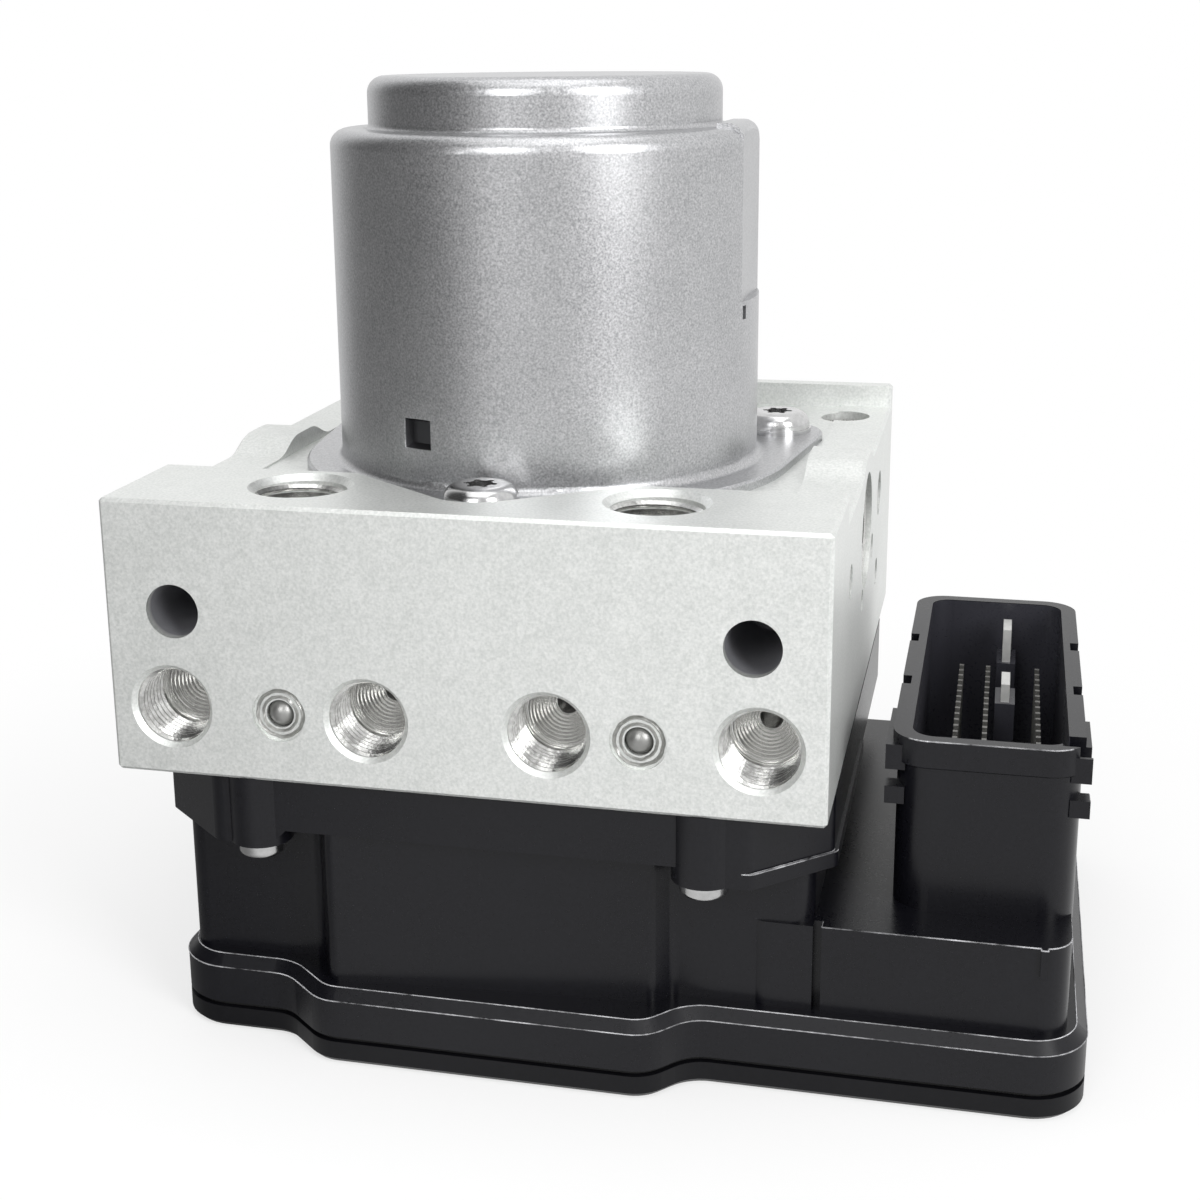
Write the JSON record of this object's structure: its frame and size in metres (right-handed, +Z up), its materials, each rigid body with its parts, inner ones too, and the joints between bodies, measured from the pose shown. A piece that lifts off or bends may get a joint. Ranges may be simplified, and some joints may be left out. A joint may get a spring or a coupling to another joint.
{
  "type": "anti-lock brake module",
  "caption": "Brake pressure modulator: aluminium valve block with a round pump motor on top and a plastic control unit with a multi-pin socket below.",
  "frame": {"origin": "on the motor's axis at the control unit's base plane", "axes": "+Z up along the motor's axis, -Y out of the port face, +X towards the socket"},
  "size_m": [0.1348, 0.108, 0.1364],
  "materials": {
    "block": "satin, extruded and machined",
    "steel": "ground",
    "chip": "moulded",
    "spool": "moulded",
    "carbon": "pressed",
    "board": "solder mask",
    "pin_metal": "tin plated",
    "copper": "enamelled wire",
    "cover_plastic": "satin moulded",
    "seal_rubber": "matt",
    "housing_plastic": "satin moulded",
    "screw_steel": "plated",
    "plug_steel": "plain",
    "can": "satin plated sheet",
    "magnet": "sintered"
  },
  "bodies": {
    "unit": {"accumulator_caps": "block", "accumulator_spring_left": "steel", "accumulator_spring_right": "steel", "bearing_holder": "steel", "board_components": "chip", "brush_plate": "spool", "brush_springs": "steel", "brushes": "carbon", "circuit_board": "board", "coil_pins": "pin_metal", "coil_yokes": "steel", "connector_pins": "pin_metal", "ecu_cover": "cover_plastic", "ecu_gasket": "seal_rubber", "ecu_housing": "housing_plastic", "ecu_screws": "screw_steel", "front_ball_plugs": "plug_steel", "lower_bearing": "steel", "middle_bearing": "steel", "motor_can": "can", "motor_magnets": "magnet", "motor_screws": "screw_steel", "power_blades": "pin_metal", "pump_cylinders": "steel", "pump_plugs": "plug_steel", "pump_spring_left": "steel", "pump_spring_right": "steel", "side_ball_plugs": "plug_steel", "upper_bearing": "steel", "valve_block": "block", "valve_bodies": "steel", "valve_coils": "spool", "valve_domes": "steel"},
    "rotor": {"rotor_core": "steel", "rotor_winding": "copper", "commutator": "copper", "motor_shaft": "steel", "eccentric": "steel", "eccentric_bearing": "steel"},
    "piston_left": {"pump_piston_left": "steel"},
    "piston_right": {"pump_piston_right": "steel"},
    "store_left": {"accumulator_piston_left": "steel"},
    "store_right": {"accumulator_piston_right": "steel"},
    "inlet_1": {"inlet_plunger_1": "steel"},
    "outlet_1": {"outlet_plunger_1": "steel"},
    "inlet_2": {"inlet_plunger_2": "steel"},
    "outlet_2": {"outlet_plunger_2": "steel"},
    "inlet_3": {"inlet_plunger_3": "steel"},
    "outlet_3": {"outlet_plunger_3": "steel"},
    "inlet_4": {"inlet_plunger_4": "steel"},
    "outlet_4": {"outlet_plunger_4": "steel"}
  },
  "joints": [
    {"name": "rotor_spin", "type": "hinge", "parent": "unit", "child": "rotor", "pos_m": [0, 0, 0.068], "axis": [0, 0, 1], "continuous": true},
    {"name": "pump_left", "type": "slide", "parent": "unit", "child": "piston_left", "axis": [1, 0, 0], "range_m": [0, 0.002], "stiffness_N_per_m": 800, "deforming": ["pump_spring_left"]},
    {"name": "pump_right", "type": "slide", "parent": "unit", "child": "piston_right", "axis": [-1, 0, 0], "range_m": [0, 0.002], "stiffness_N_per_m": 800, "deforming": ["pump_spring_right"]},
    {"name": "store_left_slide", "type": "slide", "parent": "unit", "child": "store_left", "axis": [0, 1, 0], "range_m": [0, 0.008], "stiffness_N_per_m": 1500, "deforming": ["accumulator_spring_left"]},
    {"name": "store_right_slide", "type": "slide", "parent": "unit", "child": "store_right", "axis": [0, 1, 0], "range_m": [0, 0.008], "stiffness_N_per_m": 1500, "deforming": ["accumulator_spring_right"]},
    {"name": "inlet_valve_1", "type": "slide", "parent": "unit", "child": "inlet_1", "axis": [0, 0, 1], "range_m": [0, 0.00035], "stiffness_N_per_m": 500},
    {"name": "outlet_valve_1", "type": "slide", "parent": "unit", "child": "outlet_1", "axis": [0, 0, -1], "range_m": [0, 0.00035], "stiffness_N_per_m": 500},
    {"name": "inlet_valve_2", "type": "slide", "parent": "unit", "child": "inlet_2", "axis": [0, 0, 1], "range_m": [0, 0.00035], "stiffness_N_per_m": 500},
    {"name": "outlet_valve_2", "type": "slide", "parent": "unit", "child": "outlet_2", "axis": [0, 0, -1], "range_m": [0, 0.00035], "stiffness_N_per_m": 500},
    {"name": "inlet_valve_3", "type": "slide", "parent": "unit", "child": "inlet_3", "axis": [0, 0, 1], "range_m": [0, 0.00035], "stiffness_N_per_m": 500},
    {"name": "outlet_valve_3", "type": "slide", "parent": "unit", "child": "outlet_3", "axis": [0, 0, -1], "range_m": [0, 0.00035], "stiffness_N_per_m": 500},
    {"name": "inlet_valve_4", "type": "slide", "parent": "unit", "child": "inlet_4", "axis": [0, 0, 1], "range_m": [0, 0.00035], "stiffness_N_per_m": 500},
    {"name": "outlet_valve_4", "type": "slide", "parent": "unit", "child": "outlet_4", "axis": [0, 0, -1], "range_m": [0, 0.00035], "stiffness_N_per_m": 500}
  ]
}
